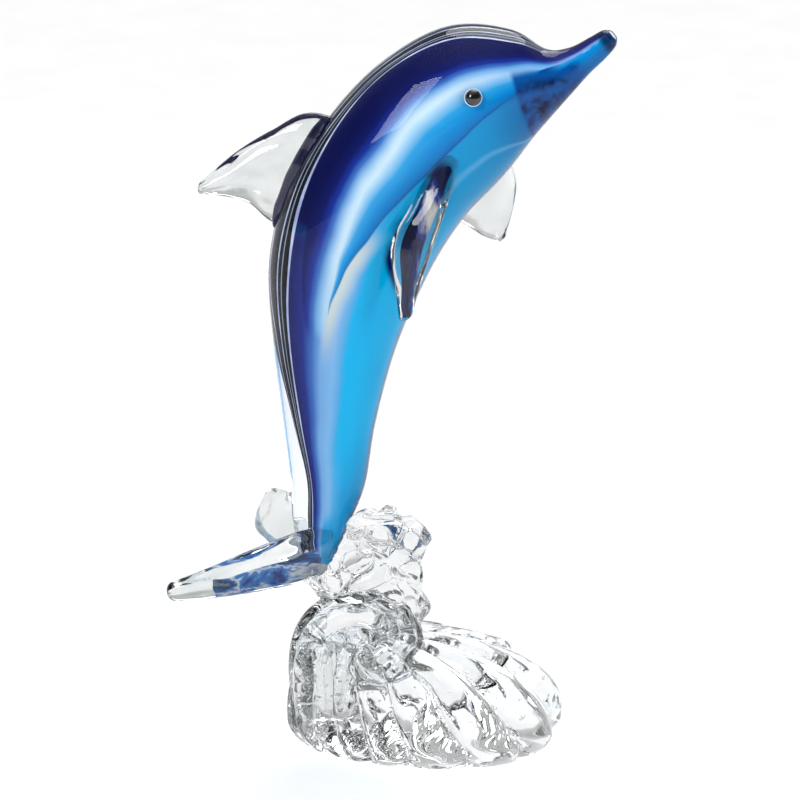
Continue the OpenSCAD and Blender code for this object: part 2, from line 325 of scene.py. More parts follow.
LAMP_TINT = (0.93, 0.95, 0.97, 1)   # what a lamp's light keeps as it passes clear glass


def lamps_through(tree, shader):
    """Lets lamps shine through clear glass, as they do through the real thing."""
    out = next(n for n in tree.nodes if n.type == "OUTPUT_MATERIAL")
    clear = add(tree, "BsdfTransparent", LAMP_TINT)
    shadow = add(tree, "LightPath").outputs["Is Shadow Ray"]
    mix = add(tree, "MixShader", shadow, shader.outputs[0], clear.outputs[0])
    tree.links.new(mix.outputs[0], out.inputs["Surface"])


# ---------------------------------------------------------------- materials

def clear_glass(name, pale, deep, ripple, ripple_scale, ior=1.5):
    """Clear fire-polished glass: faint cloudiness and the slow ripple of a hand-worked surface."""
    made, tree, shader = material(name)
    shade = ramp(tree, clouds(tree, 60, 2, 0.5), [(0.35, pale), (0.7, deep)])
    put(tree, shader.inputs["Base Color"], shade)
    shader.inputs["Transmission Weight"].default_value = 1.0
    shader.inputs["IOR"].default_value = ior
    shader.inputs["Roughness"].default_value = 0.0
    bumped(tree, shader, clouds(tree, ripple_scale, 2, 0.4), ripple, 0.0008)
    lamps_through(tree, shader)
    return made


# At rows 0 to 15, in degrees from the middle of the back: where the cobalt starts to fade, where the
# flank is palest, and the edge of the upper petal of colour, which folds over the belly's
FADE_AT = [74, 76, 62, 58, 60, 62, 62, 58, 53, 56, 58, 50, 45, 45, 45, 45]
PALE_AT = [100, 95, 84, 88, 84, 80, 77, 73, 68, 68, 66, 60, 60, 60, 60, 60]
FOLD_AT = [79, 79, 79, 79, 79, 84, 95, 101, 101, 97, 86, 56, 52, 52, 52, 52]
PALENESS = [0, 0, 0, 0, 0.5, 0.8, 1, 1, 1, 0.75, 0.4, 0.2, 0, 0, 0, 0]
# Painted highlight: a paler arc of light on the belly's side, at rows 0 to 15
LIGHT_ARC_AT = [170, 170, 170, 170, 170, 165, 148, 129, 125, 136, 165, 170, 170, 170, 170, 170]
# Painted shadow: dark navy on the body around the roots of the front fins, at rows 0 to 15
SHADE_AT = [150, 150, 150, 150, 150, 140, 114, 110, 106, 106, 106, 106, 106, 106, 106, 106]
PETAL_ROW = 4.3   # where the petal's rear edge lies


def petal_colour(tree, row, angle, fold):
    """The upper petal: cobalt through opal to the blue of its folded edge."""
    before_fade = maths(tree, "SUBTRACT", by_row(tree, row, FADE_AT, 180), 20.0)
    pale = by_row(tree, row, PALE_AT, 180)
    upper = ramp(tree, rescale(tree, angle, before_fade, pale), [
        (0.0, "#11154e"), (0.33, "#161d62"), (0.52, "#24389a"), (0.66, "#4a7cc8"), (0.8, "#a6cdee"),
        (0.92, "#e4f1fa"), (1.0, "#eef7fc")])
    lower = ramp(tree, rescale(tree, angle, pale, fold), [
        (0.0, "#eef7fc"), (0.16, "#b4dcf4"), (0.38, "#36ace4"), (0.7, "#0092d6"), (0.93, "#0078c0"),
        (1.0, "#075496")])
    petal = mixed(tree, maths(tree, "GREATER_THAN", angle, pale), upper, lower)
    blueness = maths(tree, "SUBTRACT", 1.0, by_row(tree, row, PALENESS, 1))
    return mixed(tree, blueness, petal, linear("#5fb0e6"), "DARKEN")


def under_colour(tree, row, angle, past_fold):
    """The glass that the petal lies on: the tail, the cyan belly and the throat, with a painted cream
    highlight, a painted arc of light and painted shade along the belly's lower edge.
    """
    past_fade = maths(tree, "SUBTRACT", angle, by_row(tree, row, FADE_AT, 180))
    tail = ramp(tree, rescale(tree, past_fade, -20, 90), [
        (0.0, "#191e66"), (0.14, "#22328c"), (0.24, "#4676c4"), (0.33, "#86b6e6"), (0.46, "#92c4ee"),
        (0.56, "#5cb6e8"), (0.7, "#1cabe2"), (1.0, "#0a9cd6")])
    cyan = product(tree, fade(tree, angle, 97, 106), fade(tree, row, 1.6, 3.2))
    under = mixed(tree, cyan, tail, linear("#00c2f4"))
    throat = ramp(tree, rescale(tree, row, 5.5, 10.2), [
        (0.0, "#00bcee"), (0.3, "#00aee2"), (0.7, "#0098d0"), (0.9, "#0076b4"), (1.0, "#064e94")])
    under = mixed(tree, fade(tree, row, 5.4, 6.6), under, throat)
    stub = product(tree, fade(tree, angle, 92, 104), fade(tree, row, 1.5, 0.8))
    under = mixed(tree, stub, under, linear("#06a4dc"))
    # Painted highlight: a cream streak of light just past the petal's fold
    painted_cream_highlight = product(tree, fade(tree, row, 3.8, 4.7), fade(tree, row, 6.2, 5.5),
                    rescale(tree, past_fold, 2, 15, 0.9, 0, True), fade(tree, past_fold, -6, 1))
    under = mixed(tree, painted_cream_highlight, under, linear("#f4ecdc"))
    # Painted highlight: a pale arc of light along the belly's side
    off_light_arc = distance(tree, angle, by_row(tree, row, LIGHT_ARC_AT, 180))
    under = mixed(tree, rescale(tree, off_light_arc, 0, 5, 0.55, 0, True), under, linear("#7cc6ee"))
    # Painted shade: the underside of the belly darkens to a grey-brown edge line, where the clear casing
    # looks dark edge-on
    return mixed(tree, rescale(tree, angle, 160, 172, 0, 0.75, True), under, linear("#5a5070"))


def cased_colour(tree):
    """The colour inside the casing by row and angle: a cobalt and opal petal folded over an aqua belly, with
    painted shadow at the front fins' roots, painted reflections on the chin and painted shade at the beak's
    tip.
    """
    row = attribute(tree, "row")
    waver = maths(tree, "MULTIPLY", maths(tree, "SUBTRACT", clouds(tree, 40, 2, 0.5), 0.5), 10.0)
    angle = maths(tree, "ADD", maths(tree, "ABSOLUTE", attribute(tree, "angle")), waver)
    fold = by_row(tree, row, FOLD_AT, 180)
    past_fold = maths(tree, "SUBTRACT", angle, fold)
    petal = petal_colour(tree, row, angle, fold)
    under = under_colour(tree, row, angle, past_fold)
    petal_rear = maths(tree, "ADD", PETAL_ROW, rescale(tree, angle, 45, 62, 1.3, 0, True))
    inside = product(tree, rescale(tree, maths(tree, "SUBTRACT", row, petal_rear), -0.06, 0.1),
                     rescale(tree, past_fold, -0.6, 0.6, 1, 0))
    front = mixed(tree, inside, under, petal)

    # Painted shadow: dark navy on the body around the roots of the front fins
    off_fin = distance(tree, angle, by_row(tree, row, SHADE_AT, 180))
    shade = product(tree, fade(tree, off_fin, 9, 2), fade(tree, row, 4.9, 5.4), fade(tree, row, 8, 7.5),
                    rescale(tree, clouds(tree, 60, 2, 0.5), 0.38, 0.55))
    front = mixed(tree, shade, front, linear("#121a5e"))
    # The chin is a darker blue, with dark spots painted on it as reflections
    painted_reflection_spots = product(tree, rescale(tree, clouds(tree, 130, 3, 0.6), 0.42, 0.64),
                    rescale(tree, angle, 72, 90))
    chin = mixed(tree, painted_reflection_spots, linear("#075aa6"), linear("#140f34"))
    in_chin = product(tree, rescale(tree, row, 9.72, 9.82), fade(tree, row, 12.4, 11.7),
                      fade(tree, angle, 60, 74))
    front = mixed(tree, in_chin, front, chin)
    beak = ramp(tree, rescale(tree, angle, 20, 100), [
        (0.0, "#11144c"), (0.26, "#25308a"), (0.4, "#9db4e4"), (0.47, "#2f9fdc"), (0.62, "#0098da"),
        (1.0, "#0a72b4")])
    # Painted shade: the beak's tip is darkened, for the dark look of the clear glass there
    beak = mixed(tree, rescale(tree, row, 13.2, 13.7, 0, 0.9, True), beak, linear("#072048"))
    return mixed(tree, fade(tree, row, 10.7, 11.6), front, mixed(tree, in_chin, beak, chin))


# The casing lifts the colour of what lies under it, so the glass inside is this much darker
INNER_DEPTH = (0.75, 0.85, 0.9, 1)


def laid_inside(tree, shader, colour, roughness):
    """Finishes a glass that lies under the casing, where it has no shine of its own."""
    put(tree, shader.inputs["Base Color"], mixed(tree, 1.0, colour, INNER_DEPTH, "MULTIPLY"))
    shader.inputs["Specular IOR Level"].default_value = 0.0
    shader.inputs["Roughness"].default_value = roughness


def cased_glass():
    made, tree, shader = material("cased_colour")
    grain = clouds(tree, 260, 4, 0.6, (1, 1, 0.4))
    colour = mixed(tree, rescale(tree, grain, 0.5, 0.8, 0, 0.03), cased_colour(tree), linear("#0c3f9a"))
    laid_inside(tree, shader, colour, 0.6)
    return made


def ribbon_glass():
    """Nearly black ribbons with a purple cast and fine pale drawn lines."""
    made, tree, shader = material("ribbon_black")
    angle = maths(tree, "ABSOLUTE", attribute(tree, "angle"))
    reach = by_row(tree, attribute(tree, "row"), list(STRIPE_REACH), 180)
    share = maths(tree, "DIVIDE", angle, reach)
    streak = clouds(tree, 120, 3, 0.6)
    dark = ramp(tree, streak, [(0.3, "#05050a"), (0.55, "#0d0c1a"), (0.8, "#191638")])
    line = ramp(tree, share, [(0.0, 0.0), (0.68, 0.0), (0.71, 0.8), (0.74, 0.0), (1.0, 0.0)])
    laid_inside(tree, shader, mixed(tree, line, dark, linear("#d9dcee")), 0.5)
    return made


def thread_glass():
    made, tree, shader = material("thread_white")
    shade = ramp(tree, clouds(tree, 140, 3, 0.6), [(0.3, "#a9addc"), (0.55, "#d6d8f2"), (0.8, "#f4f4ff")])
    laid_inside(tree, shader, shade, 0.5)
    return made


def bead_glass():
    made, tree, shader = material("bead_black")
    shade = ramp(tree, clouds(tree, 400, 2), [(0.3, "#020203"), (0.8, "#0b0b10")])
    put(tree, shader.inputs["Base Color"], shade)
    shader.inputs["Roughness"].default_value = 0.06
    shader.inputs["Coat Weight"].default_value = 1.0
    return made


def dot_glass():
    made, tree, shader = material("dot_white")
    shade = ramp(tree, clouds(tree, 500, 2), [(0.3, "#c9d2e6"), (0.7, "#f4f6fb")])
    put(tree, shader.inputs["Base Color"], shade)
    shader.inputs["Roughness"].default_value = 0.15
    return made


MARBLE_PLACES = (0.28, 0.38, 0.46, 0.5, 0.54, 0.62, 0.74)
MARBLE_DEPTH = (0.6, 0.6, 0.6, 1)   # darker, as glass under clear glass is


def marbled_glass(name, colours, scale=70, drawn=(0.7, 1, 1.6), swirl=1.6):
    """Blue glass drawn out with black and pale threads; inside the right front fin the same pattern stands
    for painted shade, glints and reflections.
    """
    made, tree, shader = material(name)
    twist = clouds(tree, scale, 5, 0.6, drawn, swirl)
    shade = ramp(tree, twist, list(zip(MARBLE_PLACES, colours)))
    put(tree, shader.inputs["Base Color"], mixed(tree, 1.0, shade, MARBLE_DEPTH, "MULTIPLY"))
    shader.inputs["Roughness"].default_value = 0.25
    shader.inputs["Specular IOR Level"].default_value = 0.1
    return made


def root_glass():
    """Navy band at the dorsal fin's root with a white thread and an aqua edge."""
    made, tree, shader = material("root_navy")
    lift = maths(tree, "ADD", attribute(tree, "lift"),
                 maths(tree, "MULTIPLY", maths(tree, "SUBTRACT", clouds(tree, 90, 3), 0.5), 0.25))
    shade = ramp(tree, lift, [
        (0.0, "#0b0c24"), (0.36, "#0a1450"), (0.42, "#e6ecf6"), (0.47, "#f2f5fa"), (0.51, "#0d1650"),
        (0.6, "#0f86cc"), (0.74, "#18b4e6"), (0.82, "#0d2a86"), (0.88, "#0a0c28"), (1.0, "#12123a")])
    put(tree, shader.inputs["Base Color"], shade)
    shader.inputs["Roughness"].default_value = 0.2
    shader.inputs["Specular IOR Level"].default_value = 0.2
    return made


crystal = clear_glass("crystal_clear", "#f1f2f2", "#e6e8e9", 0.06, 60, ior=1.46)
casing_crystal = clear_glass("casing_clear", "#fbfdff", "#f2f7fc", 0.05, 40, ior=1.3)
fin_crystal = clear_glass("fin_clear", "#eff1f1", "#d9dede", 0.35, 150)
colour_glass = cased_glass()
ribbon_black = ribbon_glass()
thread_white = thread_glass()

# ---------------------------------------------------------------- the body

CASING_AROUND, CORE_AROUND = 120, 96   # points round each ring
TIP_BULGE = 0.3                        # how far the rounded tip stands out, in mm


def casing_piece():
    rows = np.concatenate([np.linspace(0, BEAK_CORE_ROW, 300),
                           np.linspace(BEAK_CORE_ROW + 0.05, LAST_ROW, 16)])
    angles = np.arange(CASING_AROUND) * 360 / CASING_AROUND
    u, a = np.meshgrid(rows, angles, indexing="ij")
    rings = skin(u, a, CASING_RHO * np.ones_like(u))
    tip = rings[-1].mean(0)
    ahead = tip - rings[-3].mean(0)
    ahead /= np.linalg.norm(ahead)
    cap = [tip + (rings[-1] - tip) * c + ahead * TIP_BULGE * math.sqrt(1 - c * c)
           for c in np.linspace(0.85, 0.2, 5)]
    points, faces = tube(np.concatenate([rings, np.stack(cap)]))
    piece("casing", points, faces, casing_crystal, ["crystal_casing"])


def core_piece():
    rows = np.linspace(0, MELON_ROW, 120)
    beak = np.linspace(MELON_ROW, BEAK_CORE_ROW, 60)
    angles = np.arange(CORE_AROUND) * 360 / CORE_AROUND - 180
    u, a = np.meshgrid(np.concatenate([rows, beak]), angles, indexing="ij")
    rho = colour_rho(u, a)
    rho[:len(rows)] *= CORE_SHARE
    points, faces = tube(skin(u, a, rho))
    piece("core", points, faces, colour_glass, ["aqua_core"],
          {"row": with_ends(u), "angle": with_ends(a)})


def stripe_edge(share):
    """Angle of a stripe's edge along the body; hand-laid stripes waver a little."""
    phase = share * 5

    def angle(u):
        waver = 0.02 * np.sin(u * 2.1 + phase) + 0.012 * np.sin(u * 4.7 + 2 * phase)
        return (share + waver * (abs(share) < 0.99)) * along_rows(STRIPE_REACH, np.minimum(u, MELON_ROW))
    return angle


def body_pieces():
    casing_piece()
    core_piece()
    edges = [stripe_edge(s) for s in STRIPE_EDGES]
    for i in range(THREADS):
        stave(f"thread_{i + 1}", edges[2 * i], edges[2 * i + 1], thread_white, f"white_thread_{i + 1}",
              4)
    for i in range(RIBBONS):
        stave(f"ribbon_{i + 1}", edges[2 * i + 1], edges[2 * i + 2], ribbon_black, f"black_ribbon_{i + 1}",
              8)
    for side, word in ((1, "right"), (-1, "left")):
        edge = edges[-1] if side > 0 else edges[0]
        stave(f"cobalt_{word}", edge, lambda u, s=side: column(u, s * COBALT_END), colour_glass,
              f"cobalt_flank_{word}", 16)
        stave(f"opal_{word}", lambda u, s=side: column(u, s * COBALT_END),
              lambda u, s=side: column(u, s * OPAL_END), colour_glass, f"opal_flank_{word}", 14)
    stave("belly", lambda u: column(u, OPAL_END), lambda u: 360 - column(u, OPAL_END), colour_glass,
          "aqua_belly", 48)


# ---------------------------------------------------------------- fins

def unit(v):
    return v / np.maximum(np.linalg.norm(v, axis=-1, keepdims=True), 1e-9)


def rounded_end(ring, way, reach, turns):
    """Rings that close a tube's end with a round cap, in the direction of way."""
    middle = ring.mean(0)
    return np.stack([middle + way * reach * math.sin(q) + (ring - middle) * math.cos(q) for q in turns])


def blade(name, rows, glass, nodes, count=90, around=96, ridges=7, ridge=0.08, lifted=False):
    """A blade through rows of [front edge, back edge, half thickness], with drawn ridges and a round tip."""
    u = np.linspace(0, len(rows) - 1, count)
    f, b, t = (along_rows(np.array([r[i] for r in rows], float), u) for i in range(3))
    centre, chord = (f + b) / 2, (f - b) / 2
    way = unit(np.gradient(centre, axis=0))
    normal = unit(np.cross(way, chord))
    half = np.linalg.norm(chord, axis=1) + 0.4 * t
    chord = unit(chord)
    phi = np.arange(around) * 2 * math.pi / around
    ridge_turn = ridges * phi[None] + 1.5 * np.sin(u[:, None] * 2.3)
    wave = 1 + ridge * np.cos(ridge_turn) * (np.abs(np.sin(phi)) ** 0.5)
    across = np.sign(np.cos(phi)) * np.abs(np.cos(phi)) ** 0.9
    rings = (centre[:, None] + chord[:, None] * (half[:, None] * across)[..., None]
             + normal[:, None] * (0.95 * t[:, None] * np.sin(phi) * wave)[..., None])
    cap = rounded_end(rings[-1], way[-1], 0.9 * t[-1], np.radians(np.linspace(12, 84, 9)))
    rings = np.concatenate([rings, cap])
    points, faces = tube(rings)
    extra = None
    if lifted:
        lift = np.repeat(np.minimum(np.arange(len(rings)) / (count - 1), 1)[:, None], around, 1)
        extra = {"lift": with_ends(lift)}
    piece(name, points, faces, glass, nodes, extra)


DORSAL_ROWS = [
    [[-22, 0, 214], [-40, 0, 186], 7], [[-39, 0, 220.5], [-51, 0, 186], 5],
    [[-52, 0, 215], [-59, 0, 192], 3.6], [[-64, 0, 207.5], [-66, 0, 194], 3],
    [[-75, 0, 198], [-75, 0, 195], 2.4]]
DORSAL_ROOT_ROWS = [
    [[-19, 0, 208], [-36, 0, 184], 7.2], [[-24, 0, 213], [-41, 0, 184], 6.4],
    [[-33.5, 0, 219.5], [-50, 0, 183.5], 5.0]]
PECTORAL_RIGHT_ROWS = [
    [[10, -18, 211], [4, -18, 208], 4.4], [[7, -25, 200], [-4, -25, 196], 4.2],
    [[1.5, -28, 184], [-10, -28, 184], 3.7], [[-2.5, -29, 171], [-9, -29, 170], 3],
    [[-5, -28.5, 160], [-8, -28.5, 159], 2.3]]
PECTORAL_LEFT_ROWS = [
    [[22, 14, 206], [6, 14, 188], 4.6], [[27, 21, 200], [9, 21, 182], 4],
    [[30, 26, 191], [15, 26, 177], 3.4], [[29.5, 29, 182], [20, 29, 172.5], 2.8],
    [[27.5, 31, 173], [24.5, 31, 170], 2.3]]
FLUKE_RIGHT_ROWS = [
    [[-33, -2, 77], [-33, -2, 64], 5], [[-45, -7, 74], [-44, -6, 60], 4.6],
    [[-58, -12, 70.5], [-56, -10, 58], 3.8], [[-73, -17, 65.5], [-71, -15, 57], 3.4],
    [[-85.3, -20, 61.5], [-84.8, -19, 57], 3.1]]
FLUKE_LEFT_ROWS = [
    [[-34, 3, 75], [-36, 3, 63], 5], [[-40, 12, 77], [-49, 12, 65], 4.6],
    [[-44, 20, 79.5], [-56, 21, 69], 4], [[-47.5, 27, 80], [-56.5, 28, 72.5], 3.2],
    [[-50.5, 33, 79], [-54, 34, 76], 2.4]]


def streak_rows(rows, by, front_share, thick):
    """Rows of a thin blade along the back edge of another one."""
    made = []
    for front, back, _ in rows:
        f, b = np.array(front, float), np.array(back, float)
        made.append([f * front_share + b * (1 - front_share) + by, b + by, thick])
    return made


def narrowed(rows, share, thickness):
    """Rows of a blade that lies inside another one."""
    made = []
    for front, back, thick in rows:
        f, b = np.array(front, float), np.array(back, float)
        middle, half = (f + b) / 2, (f - b) / 2
        made.append([middle + half * share, middle - half * share, thick * thickness])
    return made


def fin_pieces():
    blade("dorsal", DORSAL_ROWS, fin_crystal, ["dorsal_fin"], ridges=9)
    blade("dorsal_root_band", DORSAL_ROOT_ROWS, root_glass(), ["dorsal_root"], 40, 80,
          ridge=0.0, lifted=True)
    blade("pectoral_right", PECTORAL_RIGHT_ROWS, fin_crystal, ["pectoral_fin_right"], ridges=5)
    # Painted light in the right front fin: a thin blade inside it, painted with dark navy shade, a
    # cream-white glint and blue reflections of the body
    fin_painted_light = marbled_glass("fin_painted_shade_glint_reflection", [
        "#0a0c24", "#152478", "#0a0d2c", "#0f1a5c", "#1c44a4", "#fffaf2", "#2a7cc8"], 60,
        (1.3, 0.6, 0.3), 0.25)
    blade("pectoral_right_painted_shade_and_glint", narrowed(PECTORAL_RIGHT_ROWS, 0.5, 0.42), fin_painted_light, [], 60, 48,
          ridge=0.0)
    blade("pectoral_left", PECTORAL_LEFT_ROWS, fin_crystal, ["pectoral_fin_left"], ridges=5)
    blade("fluke_near", FLUKE_RIGHT_ROWS, fin_crystal, ["fluke_right"], ridges=6)
    blade("fluke_far", FLUKE_LEFT_ROWS, fin_crystal, ["fluke_left"], ridges=6)
    marble = marbled_glass("streak_marbled", [
        "#0a0d1c", "#17389a", "#3a90e0", "#f4f6f4", "#2c7cd4", "#0d1640", "#a4cdec"], 62,
        (0.4, 1, 1.4), 1.2)
    pale = marbled_glass("streak_pale", [
        "#6f9ccc", "#a9c9e6", "#dfeaf2", "#f4f8fa", "#c9dcec", "#8db8de", "#e6eef4"])
    blade("streak_near", streak_rows(FLUKE_RIGHT_ROWS[:4], np.array([0, 1.0, 0.4]), 0.5, 1.3), marble,
          ["fluke_streak_right"], 50, 48, ridge=0.0)
    blade("streak_far", streak_rows(FLUKE_LEFT_ROWS[:4], np.array([0.0, 0.0, 0.2]), 0.12, 0.9), pale,
          ["fluke_streak_left"], 50, 48, ridge=0.0)


# ---------------------------------------------------------------- eyes

EYE_ROW, EYE_ANGLE = 8.93, 79.5
BEAD_R, BEAD_BULGE, BEAD_SUNK = 2.85, 2.3, 0.2
DOT_R, DOT_BULGE, DOT_SUNK = 3.1, 0.9, 0.3


def eye_pieces():
    """Beads and dots: flattened balls that face straight out of the skin."""
    bead, dot = bead_glass(), dot_glass()
    lat = np.radians(np.linspace(-87, 87, 29))[:, None]
    lon = (np.arange(48) * 2 * math.pi / 48)[None]
    for side, word in ((1, "right"), (-1, "left")):
        centre = skin(np.array(EYE_ROW), np.array(side * EYE_ANGLE), np.array(1.0))
        flank = skin(np.array([EYE_ROW - 0.1, EYE_ROW + 0.1]), side * EYE_ANGLE, 1.0)
        round_way = skin(EYE_ROW, np.array([side * EYE_ANGLE - 2, side * EYE_ANGLE + 2]), 1.0)
        out = unit(np.cross(flank[1] - flank[0], round_way[1] - round_way[0]))
        out = out * np.sign(-out[1] * side)
        turn = np.array(Vector(out).to_track_quat("Z", "Y").to_matrix())
        for name, glass, r, bulge, sunk, node, slot in (
                (f"eye_dot_{word}_ring", dot, DOT_R, DOT_BULGE, DOT_SUNK, f"eye_dot_{word}", "white_glass"),
                (f"eye_bead_{word}_bead", bead, BEAD_R, BEAD_BULGE, BEAD_SUNK, f"eye_bead_{word}",
                 "black_glass")):
            rings = np.stack([r * np.cos(lat) * np.cos(lon), r * np.cos(lat) * np.sin(lon),
                              bulge * np.sin(lat) - sunk + 0 * lon], -1)
            points, faces = tube(centre + rings @ turn.T)
            piece(name, points, faces, glass, [node])


# ---------------------------------------------------------------- the wave

FOOT_LENGTH, FOOT_DEPTH, FOOT_HEIGHT = 94, 73.4, 40
FRONT_SWELL = 0.18   # the foot is this much deeper towards +X, and shallower towards -X
RIBS = 15
FOOT_PROFILE = np.array([
    [0, 0.88], [0.07, 0.95], [0.18, 1], [0.35, 1], [0.47, 0.98], [0.58, 0.94],
    [0.7, 0.88], [0.8, 0.81], [0.9, 0.7], [0.96, 0.56], [1, 0.36]])
CROWN_SHIFT = (-22, -5)
SHIFT_POWER = 5      # the higher it is, the nearer the crown the foot starts to lean
FAN_SHARE = 0.75     # how far the ribs fan out from the crown, not from the foot's middle
# Degrees by which the ribs turn as they close in, as they rise and in the swirl
CLOSE_TWIST, RISE_TWIST, SWIRL_TWIST = -30, 20, -60
RIB_DEPTH = 0.46     # as a share of a rib's width
ROUNDNESS = 0.97     # 1 for half-round ribs and strands, less for flatter ones
SWIRL_SHIFT, SWIRL_END = (-6, -4, -7), 0.02   # where the swirl leads from the crown, in mm, and its size
FOOT_RINGS, SWIRL_RINGS, UNDER_RINGS, POINTS_PER_RIB = 110, 49, 40, 30
FLAT_SHARES = (0.04, 0.985)   # the underside's innermost and outermost ring, as shares of the rim
CURL_LUMPS = [
    [[-33, -8, 16], 12.5], [[-34, -6, 27], 13], [[-32.5, -3, 37], 12.5], [[-26, -2, 43], 11.5],
    [[-18, -2, 44], 10.5], [[-11, -3, 40], 9.5], [[-9, -8, 34], 8.5], [[-13, -13, 30], 7.5],
    [[-19, -16, 30], 6.5], [[-23, -16, 33], 5.5]]
CREST_LUMPS = [
    [[-9, 6, 34], 9], [[-9, 5, 44], 10], [[-10, 3, 52], 10.5], [[-12, 1, 60], 12],
    [[-21, 0, 59], 12], [[-31, -1, 60], 11], [[-35, -2, 63], 8], [[-27, 5, 69], 9],
    [[-16, 4, 71], 11], [[-9, 0, 69.5], 10.5], [[-15, -5, 75], 8.5], [[-21, -5, 79], 6.5]]


def strand_relief(turn, count):
    """From 0 on the back of each of count round strands to 1 deep between them, by angle in radians."""
    across = 2 * np.mod(turn * count / (2 * math.pi), 1) - 1
    return (1 - np.sqrt(1 - (ROUNDNESS * across) ** 2)) / (1 - math.sqrt(1 - ROUNDNESS ** 2))


def ring_normals(rings):
    """Outward normals of a grid of rings that close round."""
    along = np.gradient(rings, axis=0)
    round_way = np.roll(rings, -1, 1) - np.roll(rings, 1, 1)
    normals = unit(np.cross(round_way, along))
    outward = rings - rings.mean(axis=(0, 1))
    return normals * np.sign((normals * outward).sum())


def bubbles(name, rings, count, depths, radii):
    """Small round bubbles scattered under a surface of rings."""
    inward = -ring_normals(rings)
    work = bmesh.new()
    for _ in range(count):
        i, k = rng.randrange(rings.shape[0]), rng.randrange(rings.shape[1])
        place = rings[i, k] + inward[i, k] * rng.uniform(*depths)
        radius = rng.uniform(*radii) * rng.uniform(0.4, 1)
        move = Matrix.Translation(Vector(place))
        bmesh.ops.create_icosphere(work, subdivisions=2, radius=radius, matrix=move)
    work.verts.index_update()
    points = [tuple(v.co) for v in work.verts]
    faces = [[v.index for v in f.verts] for f in work.faces]
    work.free()
    piece(name, points, faces, crystal, [], sharp=180)


def foot_piece():
    """A dome of fat twisted ribs that run from the floor into a swirl on the side of the curl."""
    n = RIBS * POINTS_PER_RIB
    table = along_rows(FOOT_PROFILE, np.linspace(0, len(FOOT_PROFILE) - 1, FOOT_RINGS))
    swirl = np.linspace(0, 1, SWIRL_RINGS + 1)[1:]
    lift = np.concatenate([table[:, 0], 1 + 0 * swirl])[:, None]
    size = np.concatenate([table[:, 1], FOOT_PROFILE[-1, 1] * (1 - swirl) + SWIRL_END * swirl])[:, None]
    sunk = np.concatenate([np.zeros(FOOT_RINGS), swirl])[:, None]
    a = (np.arange(n) * 2 * math.pi / n)[None]
    shift = lift ** SHIFT_POWER
    to_x, to_y, to_z = SWIRL_SHIFT
    swell = 1 + FRONT_SWELL * np.cos(a)
    rings = np.stack([
        FOOT_LENGTH / 2 * size * np.cos(a) + CROWN_SHIFT[0] * shift + to_x * sunk,
        FOOT_DEPTH / 2 * size * np.sin(a) * swell + CROWN_SHIFT[1] * shift + to_y * sunk,
        FOOT_HEIGHT * lift + to_z * smoothstep(sunk) + 0 * a], -1)
    heading = np.arctan2(rings[..., 1] - CROWN_SHIFT[1] - to_y * sunk,
                         rings[..., 0] - CROWN_SHIFT[0] - to_x * sunk)
    fan = np.mod(heading - a + 3 * math.pi, 2 * math.pi) - math.pi
    turn = a + FAN_SHARE * fan + np.radians(CLOSE_TWIST * (1 - size) + RISE_TWIST * lift + SWIRL_TWIST * sunk)
    width = math.pi * (FOOT_LENGTH + FOOT_DEPTH) / 2 * size / RIBS
    depth = RIB_DEPTH * width * (0.6 + 0.4 * smoothstep(lift / 0.12))
    rings = rings - ring_normals(rings) * (depth * strand_relief(turn, RIBS))[..., None]
    rings[..., 2] = np.maximum(rings[..., 2], 0)
    rings[0, :, 2] = 0
    shares = np.linspace(*FLAT_SHARES, UNDER_RINGS)
    under = shares[:, None, None] * rings[0][None]
    for ring, share in zip(under, shares):
        roughness = float(smoothstep((FLAT_SHARES[1] - share) / 0.1))
        for point in ring:
            seed = Vector((point[0], point[1], 0))
            point[2] = roughness * (0.4 + 0.5 * noise.noise(seed / 6) + 0.25 * noise.noise(seed / 2.2))
    under[..., 2] = np.maximum(under[..., 2], 0)
    points, faces = tube(np.concatenate([under, rings]))
    bubbles("foot_bubbles", rings[30:FOOT_RINGS], 240, (2.5, 9), (0.15, 0.75))
    piece("wave_foot_crystal", points, faces, crystal, ["wave_foot"], sharp=80)


def rope_rings(lumps, strands, twist, depth, count=220, around=240):
    """Rings of a gather along lumps, drawn into round twisted strands, with rounded ends."""
    centres = np.array([c for c, _ in lumps], float)
    radii = np.array([r for _, r in lumps], float)
    u = np.linspace(0, len(lumps) - 1, count)
    c, r = along_rows(centres, u), along_rows(radii, u)
    way = unit(np.gradient(c, axis=0))
    side = np.zeros_like(way)
    side[0] = unit(np.cross(way[0], [0, 1, 0]))
    for i in range(1, count):
        side[i] = unit(side[i - 1] - way[i] * np.dot(side[i - 1], way[i]))
    over = np.cross(way, side)
    phi = (np.arange(around) * 2 * math.pi / around)[None]
    turn = phi + math.radians(twist) * (u / u[-1])[:, None]
    towards_back = side[:, 1:2] * np.cos(phi) + over[:, 1:2] * np.sin(phi)
    depth = depth * (0.25 + 0.75 * smoothstep((0.5 - towards_back) / 0.9))
    size = r[:, None] * (1 - depth * strand_relief(turn, strands))
    rings = (c[:, None] + side[:, None] * (size * np.cos(phi))[..., None]
             + over[:, None] * (size * np.sin(phi))[..., None])
    turns = np.radians(np.linspace(10, 84, 10))
    start = rounded_end(rings[0], -way[0], 0.5 * r[0], turns[::-1])
    return np.concatenate([start, rings, rounded_end(rings[-1], way[-1], 0.7 * r[-1], turns)])


